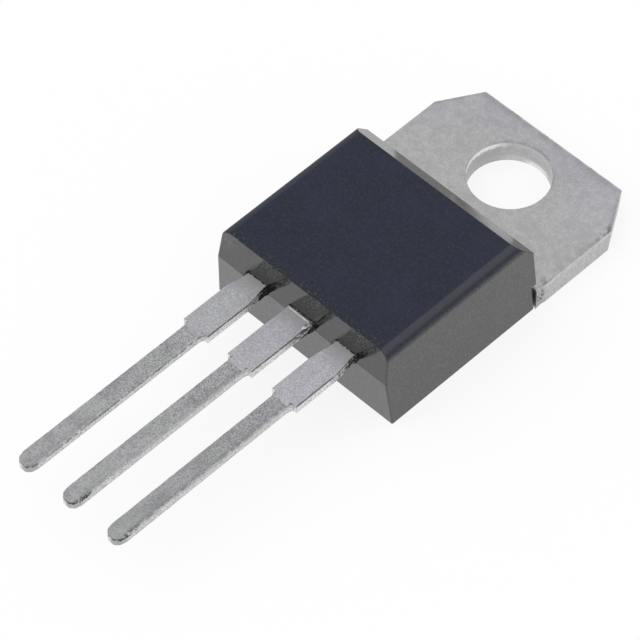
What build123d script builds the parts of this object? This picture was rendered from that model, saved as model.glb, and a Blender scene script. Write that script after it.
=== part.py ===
from build123d import *
import math
import os

os.makedirs("parts", exist_ok=True)

# Thyristor in a three-lead moulded package with a bolt-down heat-sink tab.
# Frame, mm: origin on the mounting-hole axis in the heat-sink back face,
# X across the leads, Y from the lead tips towards the tab end, Z up
# through the package.

# ---------------------------------------------------------------- leads
PITCH = 2.54              # lead centre spacing
LEAD_T = 0.43             # strip thickness
LEAD_Z = 2.54             # underside of the leads, also the parting height
LEAD_WIDE = 1.38          # width between the body and the shoulder
LEAD_NARROW = 0.83        # width beyond the shoulder
LEAD_NECK = 1.07          # width of the two outer leads at the body face
SHOULDER_Y = -16.01       # where wide becomes narrow
TIP_Y = -25.65            # lead ends
TIP_FLAT = 0.36           # flat left at the blunt lead end
TIP_TAPER = 0.45          # length of the tip chamfers
LEAD_ROLL = 0.04          # rolled upper edge left by stamping
PAD_WIDE = 2.60           # buried bond pads of the outer leads
PAD_BACK = -10.75
PAD_FRONT = -11.95
PAD_HOLE = 0.30           # radius of the resin-lock hole in each pad

# ----------------------------------------------------------------- body
BODY_TOP = 4.30
BODY_HALF_BOTTOM = 5.04
BODY_HALF_TOP = 4.71
FRONT_BOTTOM = -12.30
FRONT_PARTING = -12.51
FRONT_TOP = -12.29
CHAMFER_TOP_Y = -4.66     # tab-end chamfer, upper edge
CHAMFER_LOW_Y = -3.72     # tab-end chamfer, lower edge
CHAMFER_LOW_Z = 3.33
REAR_LOW_Y = -3.62        # foot of the tab-end wall
REAR_LOW_Z = 1.36         # the wall stops just above the tab
SKIRT_Y = -3.87           # side skirts beside the plate end here
TOP_SIDE_R = 0.54         # soft long edges of the top face
CORNER_R = 0.07           # upright corners and front edge of the top face
RIDGE_R = 0.04            # edges of the tab-end chamfer and wall

# ------------------------------------------------------- heat-sink plate
TAB_W = 10.23
TAB_T = 1.15
TAB_END = 2.75
TAB_CORNER_X = 1.18       # cropped end corners
TAB_CORNER_Y = 1.95
CORNER_LEAN = 4.0         # degrees the cropped faces lean in towards the back
CORNER_BLEND = 0.10
TAB_SHOULDER = -3.79      # full-width tab starts here
HOLE_R = 1.84
HOLE_ROLL = 0.03          # rolled rim of the mounting hole
STAMP_R = 0.04            # rolled upper edge left by stamping
SCALLOP_R = 1.00          # shallow coined scallop in each tab side
SCALLOP_DEPTH = 0.04
SCALLOP_Y = -3.50
PLATE_W = 8.40            # buried plate
PLATE_FOOT_W = 8.00       # narrower at the back so the resin grips it
PLATE_FOOT_T = 0.45
PLATE_FRONT = -10.90
GROOVE_Y = -4.90          # resin-lock groove across the plate
GROOVE_W = 0.50
GROOVE_D = 0.18

# ------------------------------------------------------ pellet and wires
DIE_W = 4.00
DIE_T = 0.32
DIE_BEVEL = 0.12
DIE_Y = -7.50
SOLDER_W = 4.20
SOLDER_T = 0.05
CATHODE_WIRE_R = 0.19
GATE_WIRE_R = 0.10
WIRE_SIDES = 10           # buried wires need no finer section
LOOP_Z = 3.55             # wire loop height
WIRE_SINK = 0.30          # share of the radius pressed flat at each foot


def prism(points, plane, depth, both=False):
    """Extrude a closed polygon given as plane coordinates."""
    face = make_face(plane * Polyline(*points, close=True))
    return extrude(face, amount=depth, both=both)


def lead_plan(neck):
    """Half outline of a straight lead, from inside the body to the tip."""
    wide = LEAD_WIDE / 2
    narrow = LEAD_NARROW / 2
    half = [(neck, PAD_FRONT + 0.3), (neck, FRONT_PARTING)]
    for step in (0.15, 0.35, 0.60, 0.85, 1.05, 1.20):
        ease = 0.5 - 0.5 * math.cos(math.pi * step / 1.20)
        half.append((neck + (wide - neck) * ease, FRONT_PARTING - step))
    half += [
        (wide, SHOULDER_Y),
        (narrow, SHOULDER_Y),
        (narrow, TIP_Y + TIP_TAPER),
        (narrow - 0.07, TIP_Y + 0.16),
        (TIP_FLAT / 2, TIP_Y),
    ]
    return half


def straight_lead(x, neck_width):
    """Flat outer part of one lead, centred on x."""
    half = lead_plan(neck_width / 2)
    if neck_width == LEAD_WIDE:
        half = [half[0]] + half[8:]
    points = [(x + w, y) for w, y in half]
    points += [(x - w, y) for w, y in reversed(half)]
    face = Plane.XY.offset(LEAD_Z) * make_face(Polyline(*points, close=True))
    lead = extrude(face, amount=LEAD_T)
    rim = lead.faces().sort_by(Axis.Z)[-1].edges()
    return fillet(rim.filter_by(lambda e: e.center().Y < PAD_FRONT + 0.2), LEAD_ROLL)


def outer_lead(x):
    """Outer lead with its buried bond pad."""
    pad_y = (PAD_BACK + PAD_FRONT) / 2
    pad = extrude(
        Pos(x, pad_y, LEAD_Z)
        * RectangleRounded(PAD_WIDE, PAD_BACK - PAD_FRONT, 0.25),
        amount=LEAD_T,
    )
    lock = Pos(x + math.copysign(0.85, x), pad_y, LEAD_Z + LEAD_T / 2) * Cylinder(
        PAD_HOLE, LEAD_T * 2
    )
    return straight_lead(x, LEAD_NECK) + pad - lock


def anode_riser():
    """Bent strip that lifts the centre lead from the plate to lead height."""
    low = TAB_T - LEAD_T / 2
    high = LEAD_Z + LEAD_T / 2
    path = Plane.YZ * FilletPolyline(
        (PLATE_FRONT + 0.5, low),
        (PLATE_FRONT - 0.20, low),
        (PAD_FRONT + 0.02, high),
        (PAD_FRONT - 0.40, high),
        radius=0.26,
    )
    across = Plane(origin=path @ 0, x_dir=(1, 0, 0), z_dir=path % 0)
    section = across * Rectangle(LEAD_WIDE, LEAD_T)
    return sweep(section, path=path)


def tab():
    """Full-width tab: cropped corners, mounting hole, coined sides, rolled edges."""
    w = TAB_W / 2
    length = TAB_END - TAB_SHOULDER
    plate = Pos(0, TAB_END - length / 2, TAB_T / 2) * Box(TAB_W, length, TAB_T)
    lean = math.tan(math.radians(CORNER_LEAN)) * math.hypot(TAB_CORNER_X, TAB_CORNER_Y)
    for side in (-1, 1):
        middle = (side * (w - TAB_CORNER_X / 2), TAB_END - TAB_CORNER_Y / 2, TAB_T)
        outward = (side * TAB_CORNER_Y, TAB_CORNER_X, -lean)
        cropped = Plane(origin=middle, z_dir=outward)
        plate -= cropped * Pos(0, 0, 2) * Box(6, 6, 4)
    uprights = plate.edges().filter_by(
        lambda e: abs(e.tangent_at(0.5).Z) > 0.9 and e.center().Y > -1
    )
    plate = fillet(uprights, CORNER_BLEND)
    for side in (-1, 1):
        x = side * (w + SCALLOP_R - SCALLOP_DEPTH)
        plate -= Pos(x, SCALLOP_Y, TAB_T / 2) * Cylinder(SCALLOP_R, TAB_T * 2)
    rim = plate.faces().sort_by(Axis.Z)[-1].edges()
    plate = fillet(rim.filter_by(lambda e: e.center().Y > TAB_SHOULDER + 0.01), STAMP_R)
    plate -= Pos(0, 0, TAB_T / 2) * Cylinder(HOLE_R, TAB_T * 2)
    hole_rim = plate.faces().sort_by(Axis.Z)[-1].edges().filter_by(GeomType.CIRCLE)
    return fillet(hole_rim.filter_by(lambda e: e.radius > 1.5), HOLE_ROLL)


def heat_sink():
    """Tab, buried plate and centre lead, stamped from one strip."""
    length = TAB_SHOULDER - PLATE_FRONT
    middle = (TAB_SHOULDER + PLATE_FRONT) / 2
    foot = Pos(0, middle, PLATE_FOOT_T / 2) * Box(PLATE_FOOT_W, length, PLATE_FOOT_T)
    upper_t = TAB_T - PLATE_FOOT_T
    upper = Pos(0, middle, PLATE_FOOT_T + upper_t / 2) * Box(PLATE_W, length, upper_t)
    groove = Pos(0, GROOVE_Y, TAB_T) * Box(PLATE_W * 2, GROOVE_W, GROOVE_D * 2)
    return tab() + foot + upper - groove + anode_riser() + straight_lead(0, LEAD_WIDE)


def body_blank():
    """Solid outside form of the moulding, before the metal is taken out."""
    side_view = prism(
        [
            (FRONT_BOTTOM, 0),
            (FRONT_PARTING, LEAD_Z),
            (FRONT_TOP, BODY_TOP),
            (CHAMFER_TOP_Y, BODY_TOP),
            (CHAMFER_LOW_Y, CHAMFER_LOW_Z),
            (REAR_LOW_Y, REAR_LOW_Z),
            (SKIRT_Y, REAR_LOW_Z),
            (SKIRT_Y, 0),
        ],
        Plane.YZ,
        8,
        both=True,
    )
    trapezoid = make_face(
        Plane.XZ
        * Polyline(
            (-BODY_HALF_BOTTOM, 0),
            (BODY_HALF_BOTTOM, 0),
            (BODY_HALF_TOP, BODY_TOP),
            (-BODY_HALF_TOP, BODY_TOP),
            close=True,
        )
    )
    shoulders = trapezoid.vertices().filter_by(lambda v: v.Z > BODY_TOP - 0.1)
    end_view = extrude(fillet(shoulders, TOP_SIDE_R), amount=20, both=True)
    blank = side_view & end_view

    front = blank.edges().filter_by(lambda e: e.center().Y < -12.2)
    upright = front.filter_by(
        lambda e: abs(e.center().X) > 4.6 and abs(e.tangent_at(0.5).Z) > 0.9
    )
    shoulder_arcs = front.filter_by(
        lambda e: e.geom_type != GeomType.LINE and e.center().Z > 4
    )
    top_edge = front.filter_by(lambda e: e.center().Z > BODY_TOP - 0.01)
    blank = fillet(upright + shoulder_arcs + top_edge, CORNER_R)

    rear = blank.edges().filter_by(Axis.X).filter_by(lambda e: e.center().Y > -6)
    ridge = rear.filter_by(lambda e: e.center().Z > CHAMFER_LOW_Z - 0.1)
    blank = fillet(ridge, RIDGE_R)
    rear_uprights = blank.edges().filter_by(
        lambda e: REAR_LOW_Z < e.center().Z < CHAMFER_LOW_Z
        and e.center().Y > -4
        and abs(e.tangent_at(0.5).Z) > 0.9
    )
    return fillet(rear_uprights, RIDGE_R)


def die():
    """Silicon pellet with a bevelled upper rim."""
    z = TAB_T + SOLDER_T
    block = Pos(0, DIE_Y, z + DIE_T / 2) * Box(DIE_W, DIE_W, DIE_T)
    return chamfer(block.faces().sort_by(Axis.Z)[-1].edges(), DIE_BEVEL)


def solder():
    """Solder layer between the plate and the pellet."""
    return Pos(0, DIE_Y, TAB_T + SOLDER_T / 2) * Box(SOLDER_W, SOLDER_W, SOLDER_T)


def bond_wire(start, end, radius):
    """Looped wire from a foot on the pellet to a foot on a bond pad."""
    span = math.hypot(end[0] - start[0], end[1] - start[1])
    direction = Vector((end[0] - start[0]) / span, (end[1] - start[1]) / span, 0)
    plane = Plane(
        origin=(start[0], start[1], 0),
        x_dir=direction,
        z_dir=direction.cross(Vector(0, 0, 1)),
    )
    lift = radius * (1 - WIRE_SINK)
    low = TAB_T + SOLDER_T + DIE_T + lift
    high = LEAD_Z + LEAD_T + lift
    foot = 2.6 * radius
    path = plane * FilletPolyline(
        (0, low),
        (foot, low),
        (foot + 0.75, LOOP_Z),
        (span - foot - 0.45, LOOP_Z),
        (span - foot, high),
        (span, high),
        radius=1.2 * radius,
    )
    section = Plane(origin=path @ 0, z_dir=path % 0) * RegularPolygon(radius, WIRE_SIDES)
    return sweep(section, path=path)


heat_sink_tab = heat_sink()
cathode_lead = outer_lead(-PITCH)
gate_lead = outer_lead(PITCH)
thyristor_die = die()
die_solder = solder()
cathode_bond_wire = bond_wire((-0.70, -7.60), (-2.35, -11.35), CATHODE_WIRE_R)
cathode_bond_wire = cathode_bond_wire - thyristor_die - cathode_lead
gate_bond_wire = bond_wire((1.35, -8.75), (2.45, -11.35), GATE_WIRE_R)
gate_bond_wire = gate_bond_wire - thyristor_die - gate_lead

mould_body = body_blank()
for piece in (
    heat_sink_tab,
    cathode_lead,
    gate_lead,
    die_solder,
    thyristor_die,
    cathode_bond_wire,
    gate_bond_wire,
):
    mould_body = mould_body - piece

nodes = {
    "mould_body": mould_body,
    "heat_sink_tab": heat_sink_tab,
    "cathode_lead": cathode_lead,
    "gate_lead": gate_lead,
    "thyristor_die": thyristor_die,
    "die_solder": die_solder,
    "cathode_bond_wire": cathode_bond_wire,
    "gate_bond_wire": gate_bond_wire,
}
for name, shape in nodes.items():
    solids = shape.solids()
    print(name, len(solids), round(shape.volume, 4), shape.bounding_box())
    export_step(solids[0] if len(solids) == 1 else Compound(children=solids), f"parts/{name}.step")
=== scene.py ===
"""Thyristor in a moulded body on a bolt-down tab: finishes, small surface pieces and the stage."""

import math
from types import SimpleNamespace

import bmesh
import bpy
import numpy as np
from bpy.props import FloatProperty, FloatVectorProperty, PointerProperty
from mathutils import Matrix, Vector


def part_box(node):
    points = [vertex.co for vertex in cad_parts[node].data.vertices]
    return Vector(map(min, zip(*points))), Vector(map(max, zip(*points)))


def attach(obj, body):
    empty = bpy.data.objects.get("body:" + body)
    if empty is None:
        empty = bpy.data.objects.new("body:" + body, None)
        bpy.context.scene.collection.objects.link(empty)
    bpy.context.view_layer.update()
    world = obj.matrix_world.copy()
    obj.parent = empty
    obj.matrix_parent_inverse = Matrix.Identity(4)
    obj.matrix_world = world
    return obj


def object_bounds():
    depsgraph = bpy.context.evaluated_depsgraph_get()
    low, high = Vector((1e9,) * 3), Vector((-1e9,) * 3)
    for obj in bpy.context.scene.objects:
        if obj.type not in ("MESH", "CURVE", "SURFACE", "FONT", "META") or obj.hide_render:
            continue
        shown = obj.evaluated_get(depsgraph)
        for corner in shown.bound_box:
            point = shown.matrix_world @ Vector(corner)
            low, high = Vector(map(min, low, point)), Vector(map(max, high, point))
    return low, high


bl_info = {
    "name": "Thyristor finishes",
    "version": (1, 0, 0),
    "blender": (4, 5, 0),
    "location": "View3D > Sidebar > Thyristor",
    "description": "Dresses the packed thyristor: resin, plated strip, tinned leads and a plain stage",
    "category": "Object",
}

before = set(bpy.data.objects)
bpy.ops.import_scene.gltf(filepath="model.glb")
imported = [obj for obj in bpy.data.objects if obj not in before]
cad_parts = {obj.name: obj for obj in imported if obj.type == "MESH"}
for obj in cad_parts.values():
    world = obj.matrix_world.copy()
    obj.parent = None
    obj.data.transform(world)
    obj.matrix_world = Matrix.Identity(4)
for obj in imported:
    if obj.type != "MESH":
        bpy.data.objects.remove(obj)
CAD_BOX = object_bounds()
MM = 0.001


def box_mm(name):
    """Low and high corner of a node's box, in mm."""
    return [np.array(corner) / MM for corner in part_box(name)]


# places in the part's frame, mm
GATE_LOW, GATE_HIGH = box_mm("gate_lead")
LEAD_PITCH = (GATE_LOW[0] + GATE_HIGH[0]) / 2
LEAD_TIP = GATE_LOW[1]
LEAD_UNDERSIDE = GATE_LOW[2]
LEAD_UPPER = GATE_HIGH[2]
MOULD_FRONT = box_mm("mould_body")[0][1]
TAB_SIDE = box_mm("heat_sink_tab")[1][0]
PARTING = LEAD_UNDERSIDE
LEADS = {"cathode": -LEAD_PITCH, "anode": 0.0, "gate": LEAD_PITCH}

# resin film round each lead, mm: first how far it reaches along the lead, then how high it stands at
# the mould, each for the lower right side, upper right side, top, left side and underside
FILM = {
    "cathode": ((0.58, 0.56, 0.05, 0.50, 0.30), (0.125, 0.055, 0.030, 0.090, 0.05)),
    "anode": ((0.85, 0.14, 0.05, 0.10, 0.30), (0.11, 0.04, 0.030, 0.020, 0.05)),
    "gate": ((0.60, 0.62, 0.05, 0.46, 0.30), (0.12, 0.055, 0.030, 0.090, 0.05)),
}


# ---------------------------------------------------------------- settings


class ResinSettings(bpy.types.PropertyGroup):
    """Finish of the moulded body."""

    top_color: FloatVectorProperty(
        name="Top colour",
        description="Resin colour on the fine matte top face",
        subtype="COLOR",
        size=3,
        min=0.0,
        max=1.0,
        default=(0.0100, 0.0125, 0.0270),
    )
    wall_color: FloatVectorProperty(
        name="Wall colour",
        description="Resin colour on the smoother drafted walls",
        subtype="COLOR",
        size=3,
        min=0.0,
        max=1.0,
        default=(0.007, 0.007, 0.007),
    )
    top_roughness: FloatProperty(
        name="Top roughness",
        description="Gloss of the spark-eroded top face",
        min=0.0,
        max=1.0,
        subtype="FACTOR",
        default=0.62,
    )
    wall_roughness: FloatProperty(
        name="Wall roughness",
        description="Gloss of the polished walls",
        min=0.0,
        max=1.0,
        subtype="FACTOR",
        default=0.13,
    )


class MetalSettings(bpy.types.PropertyGroup):
    """Finish of the plated strip: tab, centre lead and outer leads."""

    tab_color: FloatVectorProperty(
        name="Tab colour",
        description="Satin nickel plating of the tab",
        subtype="COLOR",
        size=3,
        min=0.0,
        max=1.0,
        default=(0.430, 0.430, 0.432),
    )
    lead_color: FloatVectorProperty(
        name="Lead colour",
        description="Tin on the wide part of each lead",
        subtype="COLOR",
        size=3,
        min=0.0,
        max=1.0,
        default=(0.432, 0.434, 0.464),
    )
    tin_color: FloatVectorProperty(
        name="Dipped tin colour",
        description="Grainy tin on the narrow part of each lead",
        subtype="COLOR",
        size=3,
        min=0.0,
        max=1.0,
        default=(0.412, 0.412, 0.423),
    )
    tab_roughness: FloatProperty(
        name="Tab roughness",
        description="Gloss of the tab",
        min=0.0,
        max=1.0,
        subtype="FACTOR",
        default=0.36,
    )
    tin_roughness: FloatProperty(
        name="Tin roughness",
        description="Gloss of the dipped tin",
        min=0.0,
        max=1.0,
        subtype="FACTOR",
        default=0.38,
    )


class LeadSettings(bpy.types.PropertyGroup):
    """Sizes of the bare leads that the tin, the resin film and the burr follow."""

    narrow_width: FloatProperty(
        name="Narrow width",
        description="Lead width beyond the shoulder",
        subtype="DISTANCE",
        unit="LENGTH",
        default=0.00083,
    )
    wide_width: FloatProperty(
        name="Wide width",
        description="Lead width between the body and the shoulder",
        subtype="DISTANCE",
        unit="LENGTH",
        default=0.00138,
    )
    neck_width: FloatProperty(
        name="Neck width",
        description="Width of the outer leads at the body face",
        subtype="DISTANCE",
        unit="LENGTH",
        default=0.00107,
    )
    shoulder: FloatProperty(
        name="Shoulder",
        description="Distance from the lead tip to the shoulder",
        subtype="DISTANCE",
        unit="LENGTH",
        default=0.00964,
    )
    tin_depth: FloatProperty(
        name="Tin depth",
        description="Height of the lumps on the dipped tin",
        subtype="DISTANCE",
        unit="LENGTH",
        default=0.000022,
    )


class StageSettings(bpy.types.PropertyGroup):
    """Floor, light and camera."""

    azimuth: FloatProperty(
        name="Azimuth",
        description="Direction the camera stands in, from -Y towards +X",
        subtype="ANGLE",
        unit="ROTATION",
        default=math.radians(44.597),
    )
    elevation: FloatProperty(
        name="Elevation",
        description="Height angle of the camera",
        subtype="ANGLE",
        unit="ROTATION",
        default=math.radians(51.642),
    )
    distance: FloatProperty(
        name="Distance",
        description="Camera to the point it aims at",
        subtype="DISTANCE",
        unit="LENGTH",
        default=0.19,
    )
    sky: FloatProperty(
        name="Sky strength",
        description="Level of the even studio light",
        min=0.0,
        default=0.74,
    )


# ------------------------------------------------------------ shader maths


class Wire:
    """A shader socket, or a plain number, that can be used in sums."""

    def __init__(self, tree, socket):
        self.tree = tree
        self.socket = socket

    def node(self, kind, settings=None, inputs=None, output=0):
        """Any node: its settings first, then the values or links of its inputs."""
        made = self.tree.nodes.new(kind)
        for key, value in (settings or {}).items():
            setattr(made, key, value)
        for key, value in (inputs or {}).items():
            if isinstance(value, Wire):
                self.tree.links.new(value.socket, made.inputs[key])
            else:
                made.inputs[key].default_value = value
        return Wire(self.tree, made.outputs[output] if made.outputs else None)

    def math(self, operation, *values, clamp=False):
        """One Math node on this wire and the given values."""
        inputs = {0: self}
        for place, value in enumerate(values, start=1):
            inputs[place] = value
        return self.node("ShaderNodeMath", {"operation": operation, "use_clamp": clamp}, inputs)

    def __add__(self, other):
        return self.math("ADD", other)

    def __radd__(self, other):
        return self.math("ADD", other)

    def __mul__(self, other):
        return self.math("MULTIPLY", other)

    def __rmul__(self, other):
        return self.math("MULTIPLY", other)

    def __sub__(self, other):
        return self.math("SUBTRACT", other)

    def __rsub__(self, other):
        return self.node("ShaderNodeMath", {"operation": "SUBTRACT"}, {0: other, 1: self})

    def __truediv__(self, other):
        return self.math("DIVIDE", other)

    def __rtruediv__(self, other):
        return self.node("ShaderNodeMath", {"operation": "DIVIDE"}, {0: other, 1: self})

    def abs(self):
        return self.math("ABSOLUTE")

    def step(self, low, high):
        """0 below low, 1 above high, smooth between; low above high turns it round."""
        flip = low > high
        rise = self.node(
            "ShaderNodeMapRange",
            {"interpolation_type": "SMOOTHSTEP"},
            {"Value": self, "From Min": min(low, high), "From Max": max(low, high)},
        )
        return 1 - rise if flip else rise


class Finish:
    """A material being built: its wires start from Object coordinates in mm."""

    def __init__(self, name):
        self.material = bpy.data.materials.new(name)
        self.material.use_nodes = True
        self.tree = self.material.node_tree
        self.tree.nodes.clear()
        self.start = Wire(self.tree, None)
        place = self.start.node("ShaderNodeTexCoord", output="Object")
        self.mm = self.start.node(
            "ShaderNodeVectorMath", {"operation": "SCALE"}, {0: place, "Scale": 1 / MM}
        )
        split = self.start.node("ShaderNodeSeparateXYZ", inputs={0: self.mm})
        self.x, self.y, self.z = (
            Wire(self.tree, split.socket.node.outputs[axis]) for axis in "XYZ"
        )
        normal = self.start.node("ShaderNodeNewGeometry", output="Normal")
        facing = self.start.node("ShaderNodeSeparateXYZ", inputs={0: normal})
        self.nx, self.ny, self.nz = (
            Wire(self.tree, facing.socket.node.outputs[axis]) for axis in "XYZ"
        )

    def stretched(self, stretch):
        """The mm coordinates scaled along each axis."""
        return self.start.node(
            "ShaderNodeMapping", {"vector_type": "POINT"}, {"Vector": self.mm, "Scale": stretch}
        )

    def noise(self, per_mm, detail=3.0, rough=0.5, stretch=None, warp=0.0):
        """Fractal noise, 0 to 1, with per_mm features in a millimetre."""
        where = self.stretched(stretch) if stretch else self.mm
        return self.start.node(
            "ShaderNodeTexNoise",
            {"noise_dimensions": "3D"},
            {
                "Vector": where,
                "Scale": per_mm,
                "Detail": detail,
                "Roughness": rough,
                "Distortion": warp,
            },
            output="Fac",
        )

    def cells(self, per_mm):
        """Distance from the middle of the nearest cell, with per_mm cells in a millimetre."""
        return self.start.node(
            "ShaderNodeTexVoronoi",
            {"feature": "F1"},
            {"Vector": self.mm, "Scale": per_mm},
            output="Distance",
        )

    def from_lead(self, x):
        """Signed sideways distance in mm from the middle of the nearest lead, for a place x."""
        return ((x / LEAD_PITCH + 0.5).math("FRACT") - 0.5) * LEAD_PITCH

    def mix(self, share, low, high):
        """Colour low where share is 0 and high where it is 1."""
        return self.start.node(
            "ShaderNodeMix",
            {"data_type": "RGBA", "clamp_factor": True},
            {0: share, 6: opaque(low), 7: opaque(high)},
            output=2,
        )

    def coats(self, color, *layers):
        """A colour with thin layers over it, each a share from 0 to 1 and a colour."""
        for share, layer in layers:
            color = self.mix(share, color, layer)
        return color

    def blend(self, share, low, high):
        """Number low where share is 0 and high where it is 1."""
        return share * (high - low) + low

    def bump(self, height, depth_mm, strength, under=None):
        """Normal bent by a 0 to 1 height that stands depth_mm tall."""
        inputs = {"Height": height, "Distance": depth_mm * MM, "Strength": strength}
        if under is not None:
            inputs["Normal"] = under
        return self.start.node("ShaderNodeBump", {}, inputs)

    def close(self, color, roughness, normal, **others):
        """Principled shader with these inputs; the others are named with _ for a space."""
        inputs = {"Base Color": color, "Roughness": roughness, "Normal": normal}
        inputs.update({name.replace("_", " "): value for name, value in others.items()})
        shader = self.start.node("ShaderNodeBsdfPrincipled", inputs=inputs)
        self.start.node("ShaderNodeOutputMaterial", inputs={"Surface": shader})
        return self.material


def opaque(color):
    """A colour as four numbers; a wire passes through."""
    return color if isinstance(color, Wire) else (*tuple(color)[:3], 1.0)


def grey(level, blue=0.0):
    """A grey, with some blue added."""
    return (level, level, level + blue)


def lighter(color):
    """The same colour, 1.3 times as bright."""
    return [part * 1.3 for part in color]


# ---------------------------------------------------------------- finishes


def resin_finish(settings):
    """Filled epoxy: spark-eroded top face, polished walls that mirror the leads."""
    f = Finish("mould_epoxy")
    cloud = f.noise(0.55, 3.0, 0.55)
    grain = f.noise(9.0, 3.0, 0.6)
    crumb = f.noise(15.0, 2.0, 0.6)
    filler = f.noise(22.0, 2.0, 0.5).step(0.66, 0.76)

    # the faces of the moulding, told apart by the way they look
    chamfer = f.ny.step(0.50, 0.62) * f.nz.step(0.40, 0.55)
    upward = ((f.nz - 0.13) * 2.0).math("MINIMUM", 1.0).math("MAXIMUM", 0.0)
    top = upward * (1 - chamfer)
    front = f.ny.step(-0.80, -0.90)
    upper_front = front * f.nz.step(0.03, 0.09)
    lower_front = front * f.nz.step(0.02, -0.03)
    # the upright front corners are painted paler, a painted highlight that offsets their dark
    # reflection
    lit_front_corner = (f.nx * f.ny).step(-0.15, -0.40) * f.nz.step(0.3, 0.1)
    right_edge = f.nx.step(0.07, 0.28) * f.nx.step(0.88, 0.54)
    left_edge = f.nx.step(-0.04, -0.30)
    # painted highlight on the rounded long edges of the top: full on the right, 0.3 on the left
    long_edge_highlight = (right_edge + left_edge * 0.30) * f.nz.step(0.4, 0.6)

    # distance from the nearest lead, along lines that lean towards +X as they rise, as the leads'
    # mirror images do in the front wall
    lead_height, lean = 3.0, 0.55
    gap = f.from_lead(f.x - (f.z - lead_height) * lean).abs()

    # top: blue-black and grainy, chipped along its front edge, with a painted highlight along its long
    # rounded edges, stronger on the right
    front_edge = f.y.step(-11.80, -12.22) * f.blend(gap.step(1.1, 0.6), 0.5, 1.0)
    top_color = f.coats(
        settings.top_color,
        (cloud.step(0.35, 0.65), lighter(settings.top_color)),
        (grain.step(0.44, 0.66) * 0.45, (0.033, 0.038, 0.050)),
        (front_edge * crumb.step(0.54, 0.44) * 0.8, (0.008, 0.012, 0.009)),
        (front_edge * crumb.step(0.56, 0.65) * 0.7, (0.080, 0.090, 0.084)),
        (long_edge_highlight * f.blend(grain, 0.55, 1.0), (0.061, 0.062, 0.073)),
    )

    # walls: black, clouded by fine filler, with pale specks painted within the leads' mirror images on
    # the front wall above each lead, a painted reflection, and front corners painted paler, a painted
    # highlight
    cloudy = grain.step(0.44, 0.64) * f.blend(upper_front, 0.8, 0.15)
    below_parting = f.z.step(2.7, 2.4)
    # pale specks within the leads' mirror images on the front wall: a painted reflection
    reflection_specks = upper_front * f.z.step(2.9, 4.0) * gap.step(0.80, 0.50)
    wall_color = f.coats(
        settings.wall_color,
        (cloud.step(0.3, 0.7), lighter(settings.wall_color)),
        (cloudy, grey(0.034)),
        (lit_front_corner * f.blend(below_parting, 0.75, 1.0), grey(0.046)),
        (reflection_specks * crumb.step(0.50, 0.62) * 0.75, (0.105, 0.110, 0.098)),
    )
    color = f.coats(wall_color, (top, top_color), (filler * 0.12, (0.16, 0.16, 0.17)))

    rough_top = f.blend(grain, settings.top_roughness - 0.08, settings.top_roughness + 0.08)
    rough_wall = f.blend(
        f.noise(1.4, 4.0, 0.6), settings.wall_roughness - 0.03, settings.wall_roughness + 0.05
    )
    roughness = rough_wall + top * (rough_top - rough_wall)

    # polish of the walls, broken by grain, and dulled in slanted bands above each lead where the leads
    # mirror in the wall: a painted dark reflection
    lead_reflection_dulling = gap.step(0.72, 0.54) * f.x.abs().step(4.2, 3.9) * f.z.step(4.7, 3.1) * upper_front
    polish = f.blend(upper_front, 0.705, 0.95) * (1 - chamfer * 0.68) * (1 - top)
    polish = polish * (1 + lower_front * f.blend(f.x.step(-2.5, 4.5), 0.04, -0.05))
    polish = polish * f.blend(grain.step(0.35, 0.65), 0.86, 1.03)
    polish = polish * (1 - lead_reflection_dulling * 0.56)

    erosion = f.noise(16.0, 4.0, 0.7) * top
    tool_waves = f.noise(1.1, 2.0, 0.4) * (1 - top)
    parting_line = (f.z - PARTING).abs().step(0.035, 0.0) * f.ny.step(-0.8, -0.95)
    normal = f.bump(erosion, 0.010, 0.55)
    normal = f.bump(tool_waves, 0.012, 0.5, normal)
    normal = f.bump(parting_line, 0.012, 0.6, normal)
    return f.close(
        color, roughness, normal, IOR=1.36, Coat_Weight=polish, Coat_Roughness=0.07, Coat_IOR=1.55
    )


def plated_marks(f):
    """What the faces of the strip share: noises from coarse to fine, and masks.

    lead is 1 on the leads, upright is 1 on upright faces, and from_axis is the squared distance from
    the axis of the mounting hole.
    """
    return SimpleNamespace(
        tint=f.noise(0.5, 2.0, 0.5, stretch=(1.0, 0.6, 1.0)),
        broken=f.noise(2.2, 3.0, 0.6),
        mottle=f.noise(3.2, 3.0, 0.6),
        grain=f.noise(13.0, 3.0, 0.65),
        frost=f.noise(24.0, 2.0, 0.6),
        lead=f.y.step(-12.0, -12.2),
        upright=f.nz.abs().step(0.55, 0.25),
        from_axis=f.x * f.x + f.y * f.y,
    )


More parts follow.
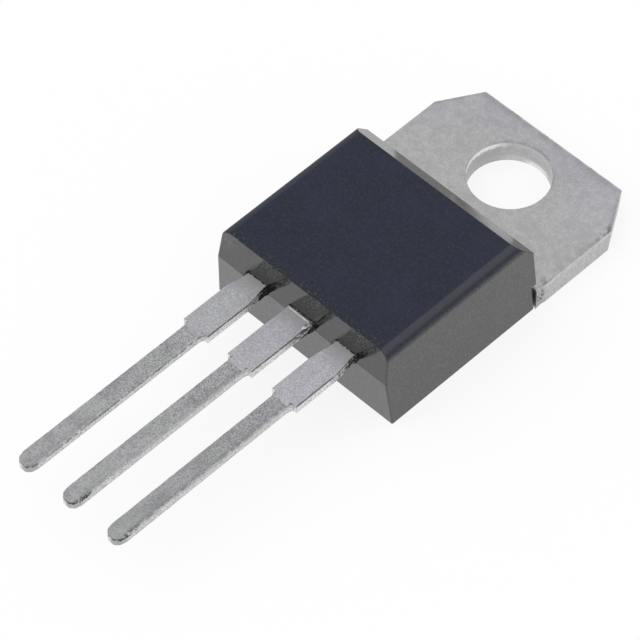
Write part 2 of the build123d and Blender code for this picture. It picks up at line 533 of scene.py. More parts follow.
def tab_tones(f, marks, settings):
    """Flat of the tab: cloudy satin plating, bluish towards its end, with grain and rubbed rims."""
    cloud = f.noise(0.8, 4.0, 0.6, warp=0.4)
    bluish = (f.y + f.x.abs() * 0.3 + marks.tint * 3.0 + marks.mottle * 2.0 - 1.0).step(1.4, 4.4)
    right_light = f.x.step(2.2, 3.4) * f.y.step(-0.8, 0.8)
    left_light = f.x.step(-3.0, -4.0)

    # outline grows outwards over the end and the cropped corners alike
    corner_start, corner_slope = 3.935, 1.6525
    outline = f.y + f.x.abs().math("MAXIMUM", corner_start) * corner_slope
    rubbed = outline.step(8.80, 9.10) * f.blend(marks.broken.step(0.35, 0.62), 0.08, 0.36)
    rim = outline.step(9.17, 9.22) * f.y.step(0.6, 0.9) * marks.broken.step(0.66, 0.50)
    # dark specks along the right top edge of the tab: nicks, and next to the body painted shade of the
    # scallop's shadow line
    nicks_and_shade = f.x.step(4.72, 4.98) * marks.mottle.step(0.44, 0.56)
    nicks_and_shade = nicks_and_shade * (0.35 + f.y.step(-0.6, 0.5) + f.y.step(-2.7, -3.1))
    lip = marks.from_axis.step(3.38, 3.46) * marks.from_axis.step(3.90, 3.62)
    lip = lip * marks.broken.step(0.42, 0.60) * f.y.step(0.4, 1.4) * (1 - marks.upright)
    return f.coats(
        settings.tab_color,
        (bluish, (0.398, 0.392, 0.438)),
        (marks.tint.step(0.55, 0.40) * (1 - bluish), (0.425, 0.430, 0.410)),
        (cloud.step(0.35, 0.65) * 0.5, (0.455, 0.455, 0.462)),
        (right_light * 0.24 + left_light * 0.10, (0.560, 0.556, 0.570)),
        (marks.mottle.step(0.40, 0.64) * 0.45, (0.345, 0.342, 0.352)),
        (marks.mottle.step(0.46, 0.34) * 0.30, (0.500, 0.505, 0.500)),
        (marks.grain.step(0.48, 0.62) * 0.44, (0.300, 0.298, 0.312)),
        (marks.grain.step(0.44, 0.34) * 0.22, grey(0.560)),
        (rubbed + nicks_and_shade * 0.5 + lip * 0.5, grey(0.200, 0.010)),
        (rim * 0.7, grey(0.640, 0.010)),
    )


def bore_tones(f, marks):
    """Wall of the mounting hole, with painted light: a bright highlight band near the top, full on one
    side and darker under it, a paler foot and a near-white highlight low on the far wall; dull and
    cloudy elsewhere.
    """
    height = f.z + (marks.mottle - 0.5) * 0.30
    left = (f.x + f.y + (marks.broken - 0.5) * 1.2).step(0.6, -0.9)
    # painted light on the bore wall: a highlight band near the top, a paler foot and a near-white
    # highlight low on the far wall
    band = height.step(0.83, 0.97) * height.step(1.20, 1.10)
    foot = height.step(0.46, 0.20) * f.blend(left, 0.9, 0.25)
    foot_highlight = f.x.abs().step(0.80, 0.35) * f.y.step(0.0, 1.0) * height.step(0.34, 0.12)
    bore_highlight_color = f.mix(left, grey(0.58), (0.82, 0.82, 0.81))
    return f.coats(
        f.mix(marks.mottle.step(0.35, 0.65), grey(0.44, 0.005), grey(0.50, 0.005)),
        (band * f.blend(left, 0.35, 1.0), bore_highlight_color),
        (height.step(0.90, 0.76) * left * 0.7, grey(0.385, 0.015)),
        (marks.grain.step(0.46, 0.64) * f.blend(band, 0.5, 0.15), grey(0.340, 0.010)),
        (foot * 0.7, grey(0.60, 0.005)),
        (foot_highlight * f.blend(marks.grain.step(0.42, 0.55), 0.95, 0.55), (0.92, 0.92, 0.91)),
    )


def sheared_tones(f, marks, shear, torn):
    """Sheared sides of tab and leads: pale, faintly streaked, torn and dull next to the body; the lead
    sides are painted far paler than the lead tops, which is painted light.
    """
    tab_sides = f.mix(shear.step(0.35, 0.65), grey(0.45, 0.005), grey(0.55))
    # lead sides painted far paler than the lead tops: painted light
    lit_lead_sides = f.mix(shear.step(0.35, 0.65), grey(0.68, 0.005), grey(0.84))
    burnish = (f.z + (marks.broken - 0.5) * 0.4).step(0.88, 1.02) * (1 - marks.lead)
    # darker grain on the tab sides next to the body
    darker_next_to_body = (f.y + (marks.mottle - 0.5) * 0.8).step(-3.15, -3.45) * (1 - marks.lead)
    return f.coats(
        f.mix(marks.lead, tab_sides, lit_lead_sides),
        (marks.frost.step(0.48, 0.62) * f.blend(marks.lead, 0.5, 0.8), grey(0.31, 0.01)),
        (marks.frost.step(0.44, 0.34) * f.blend(marks.lead, 0.4, 0.8), grey(0.96)),
        (burnish * f.blend(marks.mottle.step(0.35, 0.6), 0.5, 0.1), grey(0.74)),
        (darker_next_to_body * marks.grain.step(0.42, 0.54) * 0.55, grey(0.17)),
        (torn, grey(0.76)),
        (torn * f.noise(7.5, 3.0, 0.6).step(0.49, 0.56) * 0.85, grey(0.09)),
    )


def lead_top_tones(f, marks, settings, root):
    """Flats of the wide leads: smooth and pale at the body, cloudy and frosted farther out."""
    rolled = f.nx.step(-0.15, -0.5)
    return f.coats(
        settings.lead_color,
        (marks.tint.step(0.40, 0.62), (0.460, 0.466, 0.474)),
        (f.x.step(-3.4, 3.2) * 0.6, (0.530, 0.533, 0.580)),
        (marks.mottle.step(0.38, 0.60) * 0.32, (0.345, 0.342, 0.378)),
        (marks.mottle.step(0.44, 0.32) * 0.15, (0.600, 0.602, 0.610)),
        (marks.frost.step(0.46, 0.60) * 0.66, (0.245, 0.243, 0.272)),
        (marks.frost.step(0.45, 0.34) * 0.40, grey(0.720, 0.008)),
        (root * 0.9, grey(0.66, 0.005)),
        (rolled * 0.5, grey(0.56, 0.01)),
    )


def plated_finish(settings):
    """Plated copper strip: satin tab, a bore with painted highlights, sheared sides and smooth wide
    leads.
    """
    f = Finish("plated_copper")
    marks = plated_marks(f)
    bore = marks.from_axis.step(3.75, 3.60)
    shear = f.noise(3.5, 3.0, 0.6, stretch=(2.5, 2.5, 0.8))

    # near the mould, torn is 1 on a lead's rough sides and root on the pale band across its flats
    torn = (f.y + (marks.mottle - 0.5) * 0.8).step(-13.85, -13.50) * marks.lead * marks.upright
    root = f.y.step(-13.5, -12.35) * f.y.step(-11.8, -12.1)
    flats = f.mix(
        marks.lead, tab_tones(f, marks, settings), lead_top_tones(f, marks, settings, root)
    )
    uprights = f.mix(bore, sheared_tones(f, marks, shear, torn), bore_tones(f, marks))

    # painted dark reflection along the upper right edge of each lead, with painted shade in a hook
    # beside the centre lead's root
    upper_edge_reflection = f.nx.step(0.25, 0.50) * f.z.step(2.87, 2.91) * marks.broken.step(0.24, 0.40)
    beside_root = f.x.abs().step(1.3, 1.1) * f.y.step(-13.30, -13.15) * f.y.step(-12.74, -12.84)
    hook_shade = beside_root * f.nx.step(0.15, 0.40) * f.z.step(2.76, 2.82)
    dark_edge_reflection = (upper_edge_reflection * (1 - torn) + hook_shade) * marks.lead
    metal = f.coats(flats, (marks.upright, uprights), (dark_edge_reflection * 0.85, grey(0.070, 0.002)))

    gloss = f.blend(marks.grain, settings.tab_roughness - 0.05, settings.tab_roughness + 0.07)
    fine = f.bump(marks.grain, 0.006, 0.45)
    uneven = f.bump(marks.mottle, 0.010, 0.30, fine)
    normal = f.bump(shear * marks.upright, 0.010, 0.4, uneven)
    return f.close(metal, gloss + root * 0.20, normal, Metallic=1 - torn * 0.8)


def tin_top_tones(f, marks, settings):
    """Flats of the dipped tin: cloudy and speckled, with a dull right margin and a painted dark
    reflection along the right edge near the tip.
    """
    coarse = f.blend(f.y.step(-24.5, -17.0), 0.55, 1.0)
    gate_side = f.blend(f.x.step(1.6, 2.2), 0.45, 1.0)
    margin = marks.across.step(0.18, 0.34) * gate_side * marks.lumps.step(0.40, 0.56)
    edge = marks.across.step(0.34, 0.41) * marks.lumps.step(0.62, 0.42)
    # dark line along the right edge near the tip: a painted dark reflection
    dark_edge_near_tip = (marks.across + (marks.specks - 0.5) * 0.30).step(0.31, 0.36)
    dark_edge_near_tip = dark_edge_near_tip * f.y.step(-24.4, -24.8) * marks.lumps.step(0.44, 0.54)
    return f.coats(
        settings.tin_color,
        (marks.cloud.step(0.36, 0.64), grey(0.300, 0.012)),
        (marks.tint.step(0.48, 0.62) * 0.6, (0.390, 0.412, 0.394)),
        (marks.tint.step(0.44, 0.34) * 0.5, (0.372, 0.362, 0.408)),
        (marks.lumps.step(0.46, 0.64) * 0.38, grey(0.500, 0.008)),
        (marks.lumps.step(0.44, 0.32) * 0.25, grey(0.240, 0.010)),
        (f.x.step(0.9, 1.7) * 0.20, grey(0.220, 0.010)),
        (marks.specks.step(0.52, 0.62) * 0.95 * coarse, grey(0.165, 0.010)),
        (marks.specks.step(0.45, 0.34) * 0.50 * coarse, grey(0.680)),
        (margin * 0.6, grey(0.200, 0.005)),
        (edge * 0.6, grey(0.560)),
        (dark_edge_near_tip * marks.right_leads * 0.8, grey(0.080, 0.005)),
    )


def tin_side_tones(f, marks):
    """Sides of the dipped tin: speckled and painted paler than the tops, painted light, with a
    two-faced cut end, a painted dark reflection line and pale painted glints.
    """
    cut_end = f.y.step(-25.12, -25.30)
    bright_cut = f.mix(marks.specks.step(0.40, 0.58), grey(0.84), grey(0.58))
    end_tone = f.mix(marks.across.step(-0.06, 0.03), bright_cut, grey(0.43))

    # the painted dark reflection line runs under the upper edge: near the tip on the centre and gate
    # leads, and farther from it on the cathode lead; pale flecks, painted glints, follow it
    right_half = marks.across.step(0.0, 0.1)
    near_tip = f.y.step(-24.5, -24.9)
    line_reach = f.blend(f.x.step(-1.2, -1.4), near_tip, (1 - near_tip) * 0.60) * right_half
    height = f.z + (marks.specks - 0.5) * 0.24 + (marks.lumps - 0.5) * 0.20
    line = height.step(2.80, 2.85) * height.step(2.99, 2.94) * marks.lumps.step(0.40, 0.48)
    line = line * f.blend(line_reach, f.blend(cut_end, 0.25, 0.85), 1.0)
    fleck_zone = f.y.step(-22.2, -22.8) * f.y.step(-24.8, -24.2) * f.z.step(2.80, 2.88)
    flecks = fleck_zone * right_half * marks.specks.step(0.47, 0.40)
    return f.coats(
        # paler than the tin tops: painted light
        f.mix(marks.lumps.step(0.35, 0.65), grey(0.58, 0.005), grey(0.72)),
        (f.z.step(2.68, 2.58) * 0.6, grey(0.44)),
        (marks.specks.step(0.52, 0.63) * 0.8, grey(0.24, 0.01)),
        (marks.specks.step(0.45, 0.34) * 0.6, grey(0.92)),
        (cut_end * marks.lumps.step(0.72, 0.56), end_tone),
        (line, grey(0.055, 0.005)),
        (flecks * f.blend(marks.right_leads, 0.4, 1.0), grey(0.97)),
    )


def tin_finish(settings):
    """Hot-dipped tin: cloudy grey skin with dark and bright specks and a pitted cut end."""
    f = Finish("dipped_tin")
    marks = SimpleNamespace(
        tint=f.noise(0.8, 2.0, 0.5),
        cloud=f.noise(1.1, 3.0, 0.6, stretch=(1.4, 0.6, 1.0)),
        lumps=f.noise(5.5, 4.0, 0.62),
        specks=f.noise(24.0, 2.0, 0.5),
        across=f.from_lead(f.x),
        right_leads=f.x.step(-1.4, -1.2),
    )
    upright = f.nz.abs().step(0.60, 0.25)
    metal = f.mix(upright, tin_top_tones(f, marks, settings), tin_side_tones(f, marks))
    roughness = f.blend(marks.lumps, settings.tin_roughness - 0.06, settings.tin_roughness + 0.10)
    normal = f.bump(marks.specks, 0.008, 0.5, f.bump(marks.lumps, 0.012, 0.5))
    return f.close(metal, roughness, normal, Metallic=1.0)


def flash_finish():
    """Ragged resin film that squeezed out round the leads: dull black with pale filler grains."""
    f = Finish("resin_flash")
    filler = f.noise(14.0, 3.0, 0.6)
    color = f.mix(filler.step(0.45, 0.70), (0.006, 0.006, 0.006), (0.014, 0.014, 0.015))
    flecks = f.noise(15.0, 2.0, 0.5).step(0.53, 0.62) * f.blend(f.x.step(-1.0, 2.0), 0.15, 0.8)
    color = f.mix(flecks, color, (0.27, 0.27, 0.24))
    return f.close(color, f.blend(filler, 0.45, 0.70), f.bump(filler, 0.008, 0.6), IOR=1.30)


def burr_finish():
    """Bright rubbed metal of the turned-up burr."""
    f = Finish("rubbed_metal")
    rub = f.noise(9.0, 3.0, 0.6)
    color = f.mix(rub.step(0.40, 0.68), (0.66, 0.66, 0.66), (0.46, 0.46, 0.47))
    return f.close(color, f.blend(rub, 0.28, 0.42), f.bump(rub, 0.006, 0.4), Metallic=1.0)


def mark_finish():
    """Crushed plating of the coined mark: grey with dark pits."""
    f = Finish("coined_metal")
    pits = f.noise(8.0, 3.0, 0.6)
    color = f.mix(pits.step(0.42, 0.58), (0.46, 0.46, 0.46), (0.12, 0.12, 0.12))
    return f.close(color, f.blend(pits, 0.35, 0.50), f.bump(pits, 0.010, 0.6), Metallic=1.0)


def silicon_finish():
    """Dark sawn and etched silicon with faint saw lines."""
    f = Finish("silicon")
    saw = f.noise(5.0, 2.0, 0.5, stretch=(0.2, 4.0, 1.0))
    color = f.mix(saw.step(0.35, 0.65), (0.17, 0.18, 0.22), (0.24, 0.25, 0.29))
    return f.close(color, f.blend(saw, 0.25, 0.42), f.bump(saw, 0.002, 0.4), Metallic=0.6)


def solder_finish():
    """Dull soft solder with a crystalline skin."""
    f = Finish("solder")
    crystals = f.cells(4.0)
    color = f.mix(crystals.step(0.1, 0.6), (0.60, 0.60, 0.61), (0.42, 0.42, 0.44))
    return f.close(color, f.blend(crystals, 0.40, 0.60), f.bump(crystals, 0.006, 0.4), Metallic=1.0)


def wire_finish():
    """Drawn aluminium wire with fine lengthwise marks."""
    f = Finish("bond_aluminium")
    drawn = f.noise(14.0, 3.0, 0.6)
    color = f.mix(drawn.step(0.4, 0.7), (0.80, 0.80, 0.82), (0.66, 0.66, 0.69))
    return f.close(color, f.blend(drawn, 0.25, 0.42), f.bump(drawn, 0.003, 0.4), Metallic=1.0)


def dress(nodes, material):
    """Give CAD nodes one finish."""
    for name in nodes:
        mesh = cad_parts[name].data
        mesh.materials.clear()
        mesh.materials.append(material)


# ----------------------------------------------------------------- surfaces


def lumps(points, per_mm, seed):
    """Smooth value noise, 0 to 1: seeded lattice values joined by 3t^2 - 2t^3 along each axis."""
    lattice = np.random.default_rng(seed).random((32, 32, 32))
    place = points * per_mm
    low = np.floor(place).astype(int)
    share = place - low
    share = share * share * (3 - 2 * share)
    total = np.zeros(points.shape[:-1])
    for corner in np.ndindex(2, 2, 2):
        index = (low + corner) % 32
        weight = np.where(np.array(corner, dtype=bool), share, 1 - share).prod(axis=-1)
        total += weight * lattice[index[..., 0], index[..., 1], index[..., 2]]
    return total


def box_section(turn, half_width, half_height, radius):
    """Rounded rectangle, and its outward direction, at the angles turn.

    With q = 2 (cos t, sin t) and c = q held between -1 and 1, a point is
    c * (half sizes - radius) + radius * d, where d = (q - c) / |q - c| points outwards.
    """
    q = 2 * np.stack([np.cos(turn), np.sin(turn)], axis=-1)
    c = np.clip(q, -1, 1)
    outward = (q - c) / np.linalg.norm(q - c, axis=-1, keepdims=True)
    half = np.stack(np.broadcast_arrays(half_width, half_height), axis=-1)
    return c * (half - radius) + radius * outward, outward


def lead_half_width(out, neck, wide):
    """Half width at a distance out from the mould: neck to wide as (1 - cos) / 2 over 1.2 mm."""
    length = 1.2
    ease = 0.5 - 0.5 * np.cos(np.pi * np.clip(out / length, 0, 1))
    return (neck + (wide - neck) * ease) / 2


def add_surface(name, points, material):
    """Closed piece from a grid of points in mm: each row is a ring, and the end rings are capped."""
    rows, cols = points.shape[:2]
    index = np.arange(rows * cols).reshape(rows, cols)
    ring = np.concatenate([index, index[:, :1]], axis=1)
    quads = np.stack([ring[:-1, :-1], ring[1:, :-1], ring[1:, 1:], ring[:-1, 1:]], axis=-1)
    caps = [index[0].tolist(), index[-1].tolist()]
    mesh = bpy.data.meshes.new(name)
    mesh.from_pydata((points.reshape(-1, 3) * MM).tolist(), [], quads.reshape(-1, 4).tolist() + caps)
    tidy = bmesh.new()
    tidy.from_mesh(mesh)
    bmesh.ops.recalc_face_normals(tidy, faces=tidy.faces)
    tidy.to_mesh(mesh)
    tidy.free()
    mesh.shade_smooth()
    mesh.set_sharp_from_angle(angle=math.radians(60))
    mesh.materials.append(material)
    piece = bpy.data.objects.new(name, mesh)
    bpy.context.scene.collection.objects.link(piece)
    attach(piece, "root")
    return piece


def tin_skin(name, settings, material, seed):
    """Lumpy tin on the narrow end of one lead, a section carried from the shoulder to the tip.

    The half width follows the tapered tip. A point of the rounded section stands out by
    0.004 + depth * (0.65 lumps + 0.35 finer lumps) mm, and dips under the strip within 0.35 mm of the
    shoulder. There the tin fills the inner corners: 0.14 exp(-(gap / 0.16)^1.3) mm is added to the
    half width. The last rows shrink over the blunt end.
    """
    rows, sides = 250, 72
    shoulder = LEAD_TIP + settings.shoulder / MM
    end_rows = LEAD_TIP - np.array([0.001, 0.006, 0.008])
    y = np.append(np.linspace(shoulder + 0.05, LEAD_TIP + 0.015, rows), end_rows)
    shrink = np.append(np.ones(rows), [0.97, 0.85, 0.45])[:, None]
    from_tip = np.maximum(y - LEAD_TIP, 0)
    gap = np.maximum(shoulder - y, 0)

    narrow = settings.narrow_width / MM / 2
    tip_half = 0.180
    taper = np.interp(from_tip, [0, 0.16, 0.45], [tip_half, narrow - 0.07, narrow])
    fillet = 0.14 * np.exp(-((gap / 0.16) ** 1.3))
    half_width = (taper + fillet)[:, None]
    half_height = (LEAD_UPPER - LEAD_UNDERSIDE) / 2
    middle_z = LEAD_UNDERSIDE + half_height
    turn = np.linspace(0, 2 * np.pi, sides, endpoint=False)[None, :]
    section, outward = box_section(turn, half_width, half_height, radius=0.05)

    bare = (LEADS[name] + section[..., 0], y[:, None], middle_z + section[..., 1])
    place = np.stack(np.broadcast_arrays(*bare), axis=-1)
    rough = 0.65 * lumps(place, 5.0, seed) + 0.35 * lumps(place, 11.0, seed + 1)
    dip = 0.045 * np.clip(1 - (shoulder - y) / 0.35, 0, 1)[:, None]
    stand = 0.004 + settings.tin_depth / MM * rough - dip
    across = (section + outward * stand[..., None]) * shrink[..., None]
    along = y[:, None] - 0.010 * (1 - shrink) * (rough - 0.5)
    skin = (LEADS[name] + across[..., 0], along, middle_z + across[..., 1])
    points = np.stack(np.broadcast_arrays(*skin), axis=-1)
    return add_surface(f"{name}_lead_tin", points, material)


def root_flash(name, settings, material, seed, reaches, rises):
    """Ragged resin film round one lead where it leaves the mould.

    Row s from 0 to 1 lies s * reach(t) out from the leaning mould face and stands
    rise(t) * (1 - s)^1.5 - 0.008 s + (lumps - 0.5) * 0.50 s (1 - s) mm above the metal, so its edge
    sinks into the lead along a torn line. The first row starts 0.03 mm inside the mould. reach and
    rise are given for the lower right, upper right, top, left and underside, and run evenly from one
    to the next over the lead's corners; reach is then multiplied by 0.2 + 0.8 (lumps + finer lumps).
    """
    rows, sides = 28, 120
    upper_lean, lower_lean = 0.125, 0.083  # the mould face's slope above and below the parting line
    neck = settings.wide_width if name == "anode" else settings.neck_width
    knots = np.radians([-35, -18, 12, 50, 61, 125, 145, 215, 235, 305, 325])
    order = [0, 0, 1, 1, 2, 2, 3, 3, 4, 4, 0]
    first = -math.pi / 5
    turn = np.linspace(first, 2 * np.pi + first, sides, endpoint=False)[None, :]
    reach = np.interp(turn, knots, [reaches[side] for side in order])
    rise = np.interp(turn, knots, [rises[side] for side in order])
    ring = np.stack([np.cos(turn), np.sin(turn), 0 * turn + seed], axis=-1)
    reach = reach * (0.2 + 0.8 * lumps(ring, 3.0, seed) + 0.8 * lumps(ring, 9.0, seed + 1))

    share = np.linspace(0, 1, rows)[:, None]
    out = share * reach
    half_height = (LEAD_UPPER - LEAD_UNDERSIDE) / 2
    half_width = lead_half_width(out, neck / MM, settings.wide_width / MM)
    section, outward = box_section(turn, half_width, half_height, radius=0.03)
    place = np.stack([section[..., 0], -out, section[..., 1]], axis=-1)
    rough = lumps(place, 7.0, seed + 2) * 0.5 + lumps(place, 15.0, seed + 3) * 0.5 - 0.5
    stand = rise * (1 - share) ** 1.5 - 0.008 * share + rough * 0.50 * share * (1 - share)
    across = section + outward * stand[..., None]
    x = LEADS[name] + across[..., 0]
    z = LEAD_UNDERSIDE + half_height + across[..., 1]
    lean = np.where(z > PARTING, upper_lean * (z - PARTING), lower_lean * (PARTING - z))
    y = MOULD_FRONT + lean - out + 0.03 * (1 - share) ** 4
    return add_surface(f"{name}_lead_flash", np.stack([x, y, z], axis=-1), material)


def root_burr(settings, material):
    """Bright burr on the centre lead: an elliptical bead along its inner end and round one corner.

    Section angle a: sideways 0.080 w cos a, upwards 0.020 w sin a, with w = smooth taper at both ends
    times 0.75 + 0.5 lumps.
    """
    side = settings.wide_width / MM / 2
    end_x, end_y = side - 0.065, MOULD_FRONT - 0.045
    radius = 0.13  # of the path's bend
    bend = np.linspace(0, np.pi / 2, 14)[1:-1]
    inner_end = np.linspace(-side + 0.05, end_x - radius, 60)
    path_x = [inner_end, end_x - radius + radius * np.sin(bend), np.linspace(end_x, end_x - 0.05, 22)]
    path_y = [
        np.full(len(inner_end), end_y),
        end_y - radius + radius * np.cos(bend),
        np.linspace(end_y - radius, end_y - 0.50, 22),
    ]
    path = np.stack([np.concatenate(path_x), np.concatenate(path_y)], axis=-1)
    tangent = np.gradient(path, axis=0)
    tangent /= np.linalg.norm(tangent, axis=-1, keepdims=True)
    normal = np.stack([-tangent[:, 1], tangent[:, 0]], axis=-1)

    share = np.linspace(0, 1, len(path))
    taper = np.interp(share, [0, 0.06, 0.60, 0.72, 0.9, 1], [0.3, 1.0, 1.0, 1.4, 1.1, 0.2])[:, None]
    spots = np.concatenate([path, np.zeros((len(path), 1))], axis=-1)
    spread = taper * (0.75 + 0.5 * lumps(spots, 7.0, seed=41))[:, None]
    angle = np.linspace(0, 2 * np.pi, 14, endpoint=False)[None, :]
    sideways = 0.080 * spread * np.cos(angle)
    x = LEADS["anode"] + path[:, :1] + normal[:, :1] * sideways
    y = path[:, 1:] + normal[:, 1:] * sideways
    z = LEAD_UPPER + 0.020 * spread * np.sin(angle)
    return add_surface("anode_lead_burr", np.stack([x, y, z], axis=-1), material)


def side_mark(material):
    """Rough coined mark on the tab side beside the body, as a low ragged crater.

    At radius r, 0 to 1, it stands 0.022 exp(-((r - 0.65) / 0.22)^2) (0.3 + 1.4 lumps)
    + 0.014 lumps (1 - r^2) mm above the scalloped side, and sinks 0.01 mm into it at its rim.
    """
    r = np.linspace(1.0, 0.02, 26)[:, None]
    angle = np.linspace(0, 2 * np.pi, 64, endpoint=False)[None, :]
    middle_y, middle_z, half_long, half_tall = -3.52, 0.63, 0.25, 0.42
    y = middle_y + half_long * r * np.cos(angle)
    z = middle_z + half_tall * r * np.sin(angle)

    scallop_y, scallop_radius, scallop_depth = -3.50, 1.0, 0.04
    bulge = np.sqrt(scallop_radius**2 - (y - scallop_y) ** 2)
    side = TAB_SIDE + scallop_radius - scallop_depth - bulge
    spots = np.stack([0 * y, y, z], axis=-1)
    rough = 0.6 * lumps(spots, 9.0, seed=51) + 0.4 * lumps(spots, 20.0, seed=52)
    ridge = 0.022 * np.exp(-(((r - 0.65) / 0.22) ** 2)) * (0.3 + 1.4 * rough)
    lift = ridge + 0.014 * rough * (1 - r**2) - 0.010 * r**8
    points = np.stack([side + lift, y, z], axis=-1)
    return add_surface("tab_side_mark", points, material)


# --------------------------------------------------------------- operators


class DressBody(bpy.types.Operator):
    """Finish of the moulded body"""

    bl_idname = "thyristor.body"
    bl_label = "Moulded body"

    def execute(self, context):
        dress(["mould_body"], resin_finish(context.scene.thyristor_resin))
        return {"FINISHED"}


class DressStrip(bpy.types.Operator):
    """Finish of the tab and the three leads"""

    bl_idname = "thyristor.strip"
    bl_label = "Tab and leads"

    def execute(self, context):
        finish = plated_finish(context.scene.thyristor_metal)
        dress(["heat_sink_tab", "cathode_lead", "gate_lead"], finish)
        return {"FINISHED"}


class AddTin(bpy.types.Operator):
    """Lumpy tin skins on the narrow ends of the leads"""

    bl_idname = "thyristor.tin"
    bl_label = "Dipped tin"

    def execute(self, context):
        material = tin_finish(context.scene.thyristor_metal)
        for place, name in enumerate(LEADS):
            tin_skin(name, context.scene.thyristor_leads, material, seed=10 + 4 * place)
        return {"FINISHED"}


class AddFlash(bpy.types.Operator):
    """Torn resin film round the roots of the leads"""

    bl_idname = "thyristor.flash"
    bl_label = "Resin film"

    def execute(self, context):
        material = flash_finish()
        settings = context.scene.thyristor_leads
        for place, (name, (reaches, rises)) in enumerate(FILM.items()):
            root_flash(name, settings, material, 61 + 5 * place, reaches, rises)
        return {"FINISHED"}


class AddBurr(bpy.types.Operator):
    """Rubbed burr at the root of the centre lead"""

    bl_idname = "thyristor.burr"
    bl_label = "Burr"

    def execute(self, context):
        root_burr(context.scene.thyristor_leads, burr_finish())
        return {"FINISHED"}


class AddMark(bpy.types.Operator):
    """Coined mark on the side of the tab"""

    bl_idname = "thyristor.mark"
    bl_label = "Coined mark"

    def execute(self, context):
        side_mark(mark_finish())
        return {"FINISHED"}


class DressInside(bpy.types.Operator):
    """Finishes of the pellet, its solder and the bond wires"""

    bl_idname = "thyristor.inside"
    bl_label = "Pellet and wires"

    def execute(self, context):
        dress(["thyristor_die"], silicon_finish())
        dress(["die_solder"], solder_finish())
        dress(["cathode_bond_wire", "gate_bond_wire"], wire_finish())
        return {"FINISHED"}


class SetStage(bpy.types.Operator):
    """Pale floor, even studio light and the camera"""

    bl_idname = "thyristor.stage"
    bl_label = "Stage"

    def execute(self, context):
        settings = context.scene.thyristor_stage
        floor = make_floor()
        make_light(context.scene, settings.sky)
        make_camera(context.scene, settings)
        context.scene.view_settings.view_transform = "Standard"
        return {"FINISHED"}


def make_floor():
    """A square sheet just under the part, solid from above and clear from below."""
    half = 1.5  # metres
    level = CAD_BOX[0][2] - 0.01 * MM
    own_light = 0.84  # share of the sheet that glows, for rays that see it directly
    mesh = bpy.data.meshes.new("floor")
    corners = [(-half, -half, level), (half, -half, level), (half, half, level), (-half, half, level)]
    mesh.from_pydata(corners, [], [(0, 1, 2, 3)])
    floor = bpy.data.objects.new("floor", mesh)
    bpy.context.scene.collection.objects.link(floor)

    f = Finish("floor_white")
    color = f.mix(f.noise(0.02, 2.0, 0.5), grey(0.985), grey(1.0))
    paper = f.start.node("ShaderNodeBsdfDiffuse", inputs={"Color": color})
    glow = f.start.node("ShaderNodeEmission", inputs={"Strength": 1.0})
    seen = direct_look(f.tree) * own_light
    sheet = f.start.node("ShaderNodeMixShader", inputs={0: seen, 1: paper, 2: glow})
    below = f.start.node("ShaderNodeNewGeometry", output="Backfacing")
    clear = f.start.node("ShaderNodeBsdfTransparent")
    sheet = f.start.node("ShaderNodeMixShader", inputs={0: below, 1: sheet, 2: clear})
    f.start.node("ShaderNodeOutputMaterial", inputs={"Surface": sheet})
    mesh.materials.append(f.material)
    return floor


def direct_look(tree):
    """1 for rays from the camera, off a mirror or through glass, 0 for scattered light."""
    path = Wire(tree, None).node("ShaderNodeLightPath").socket.node.outputs
    kinds = ("Is Camera Ray", "Is Glossy Ray", "Is Transmission Ray")
    camera, glossy, through = (Wire(tree, path[kind]) for kind in kinds)
    return (camera + glossy).math("ADD", through, clamp=True)


def make_light(scene, sky):
    """Even sky, white to rays that see it directly, in metal or through glass, and one soft lamp."""
    world = bpy.data.worlds.new("studio")
    world.use_nodes = True
    tree = world.node_tree
    tree.nodes.clear()
    start = Wire(tree, None)
    strength = direct_look(tree) * (1.0 - sky) + sky
    light = {"Color": opaque(grey(1.0)), "Strength": strength}
    background = start.node("ShaderNodeBackground", inputs=light)
    start.node("ShaderNodeOutputWorld", inputs={"Surface": background})
    scene.world = world

    lamp = bpy.data.lights.new("key", "SUN")
    lamp.energy = 1.05
    lamp.angle = math.radians(70)
    key = bpy.data.objects.new("key", lamp)
    key.visible_glossy = False
    toward = Vector((-0.31, -0.559, 0.769))
    key.rotation_euler = toward.to_track_quat("Z", "Y").to_euler()
    scene.collection.objects.link(key)


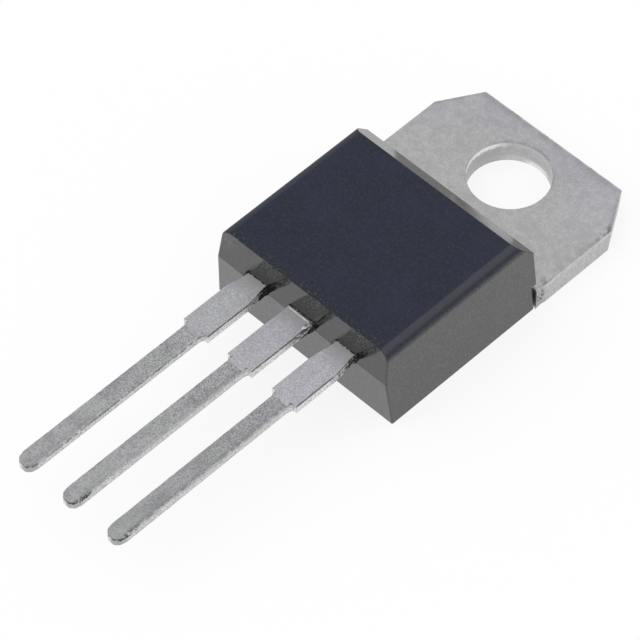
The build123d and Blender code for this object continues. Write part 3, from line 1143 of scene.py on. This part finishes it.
def make_camera(scene, settings):
    """Camera at the given angles, aimed at the middle of the part."""
    aim = Vector((0.012, -11.399, 1.578)) * MM
    az, el = settings.azimuth, settings.elevation
    back = Vector((math.sin(az) * math.cos(el), -math.cos(az) * math.cos(el), math.sin(el)))
    lens = bpy.data.cameras.new("camera")
    lens.sensor_width = 36.0
    lens.lens = 260.2
    lens.clip_start = 0.001
    lens.clip_end = 20.0
    camera = bpy.data.objects.new("camera", lens)
    camera.location = aim + back * settings.distance
    camera.rotation_euler = back.to_track_quat("Z", "Y").to_euler()
    scene.collection.objects.link(camera)
    scene.camera = camera


class ThyristorPanel(bpy.types.Panel):
    """Lists the build steps"""

    bl_idname = "VIEW3D_PT_thyristor"
    bl_label = "Thyristor"
    bl_space_type = "VIEW_3D"
    bl_region_type = "UI"
    bl_category = "Thyristor"

    def draw(self, context):
        layout = self.layout
        for step in STEPS:
            layout.operator(step.bl_idname)
        for group, owner in GROUPS:
            settings = getattr(context.scene, group)
            for name in owner.__annotations__:
                layout.prop(settings, name)


STEPS = (DressBody, DressStrip, DressInside, AddTin, AddFlash, AddBurr, AddMark, SetStage)
GROUPS = (
    ("thyristor_resin", ResinSettings),
    ("thyristor_metal", MetalSettings),
    ("thyristor_leads", LeadSettings),
    ("thyristor_stage", StageSettings),
)


def register():
    for name, owner in GROUPS:
        bpy.utils.register_class(owner)
        setattr(bpy.types.Scene, name, PointerProperty(type=owner))
    for step in STEPS:
        bpy.utils.register_class(step)
    bpy.utils.register_class(ThyristorPanel)


def unregister():
    bpy.utils.unregister_class(ThyristorPanel)
    for step in reversed(STEPS):
        bpy.utils.unregister_class(step)
    for name, owner in reversed(GROUPS):
        delattr(bpy.types.Scene, name)
        bpy.utils.unregister_class(owner)


def main():
    """Build everything in order."""
    register()
    bpy.ops.thyristor.body()
    bpy.ops.thyristor.strip()
    bpy.ops.thyristor.inside()
    bpy.ops.thyristor.tin()
    bpy.ops.thyristor.flash()
    bpy.ops.thyristor.burr()
    bpy.ops.thyristor.mark()
    bpy.ops.thyristor.stage()


if __name__ == "__main__":
    main()
